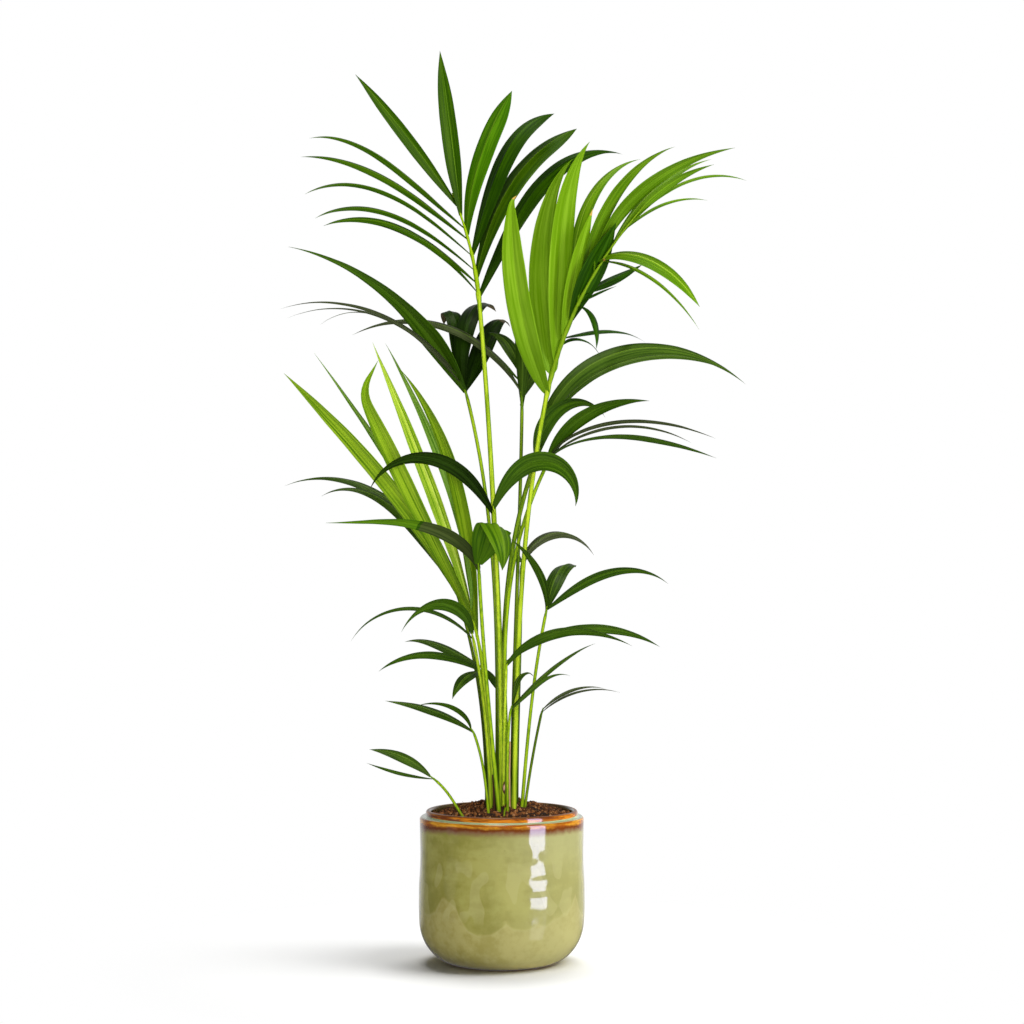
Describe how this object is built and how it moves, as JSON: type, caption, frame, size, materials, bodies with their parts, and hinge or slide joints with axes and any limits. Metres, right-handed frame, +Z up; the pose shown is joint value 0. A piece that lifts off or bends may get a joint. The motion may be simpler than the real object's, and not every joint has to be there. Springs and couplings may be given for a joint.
{
  "type": "potted kentia palm",
  "caption": "Kentia palm with arching feather fronds on thin stalks, rooted in soil in a round glazed ceramic pot.",
  "frame": {"origin": "middle of the pot's flat underside, at floor level", "axes": "+Z up, +X to the right and -Y towards the viewer of the plant's front"},
  "size_m": [0.6385, 0.3789, 1.2197],
  "materials": {
    "glaze": "gloss",
    "soil": "matte",
    "stalk": "satin",
    "husk": "matte",
    "frond_mid": "satin",
    "frond_dark": "satin",
    "frond_bright": "satin"
  },
  "bodies": {
    "root": {"pot": "glaze", "soil": "soil", "stalk_top": "stalk", "stalk_crown": "stalk", "stalk_back": "stalk", "stalk_right": "stalk", "stalk_reach": "stalk", "stalk_left": "stalk", "stalk_middle": "stalk", "stalk_front": "stalk", "stalk_fan": "stalk", "stalk_low_left": "stalk", "stalk_back_left": "stalk", "stalk_low_back": "stalk", "stalk_low_front": "stalk", "stalk_edge": "stalk", "stalk_right_low": "stalk", "stalk_front_right": "stalk", "stalk_small_right": "stalk", "stalk_low_right": "stalk", "stalk_back_right": "stalk", "husk_right": "husk", "husk_left": "husk", "bud": "husk", "frond_top": "frond_mid", "frond_crown": "frond_bright", "frond_back": "frond_dark", "frond_right": "frond_dark", "frond_reach": "frond_dark", "frond_left": "frond_dark", "frond_middle": "frond_dark", "frond_front": "frond_dark", "frond_fan": "frond_bright", "frond_low_left": "frond_dark", "frond_back_left": "frond_dark", "frond_low_back": "frond_dark", "frond_low_front": "frond_dark", "frond_edge": "frond_dark", "frond_right_low": "frond_dark", "frond_front_right": "frond_dark", "frond_small_right": "frond_dark", "frond_low_right": "frond_dark", "frond_back_right": "frond_dark"}
  },
  "joints": []
}
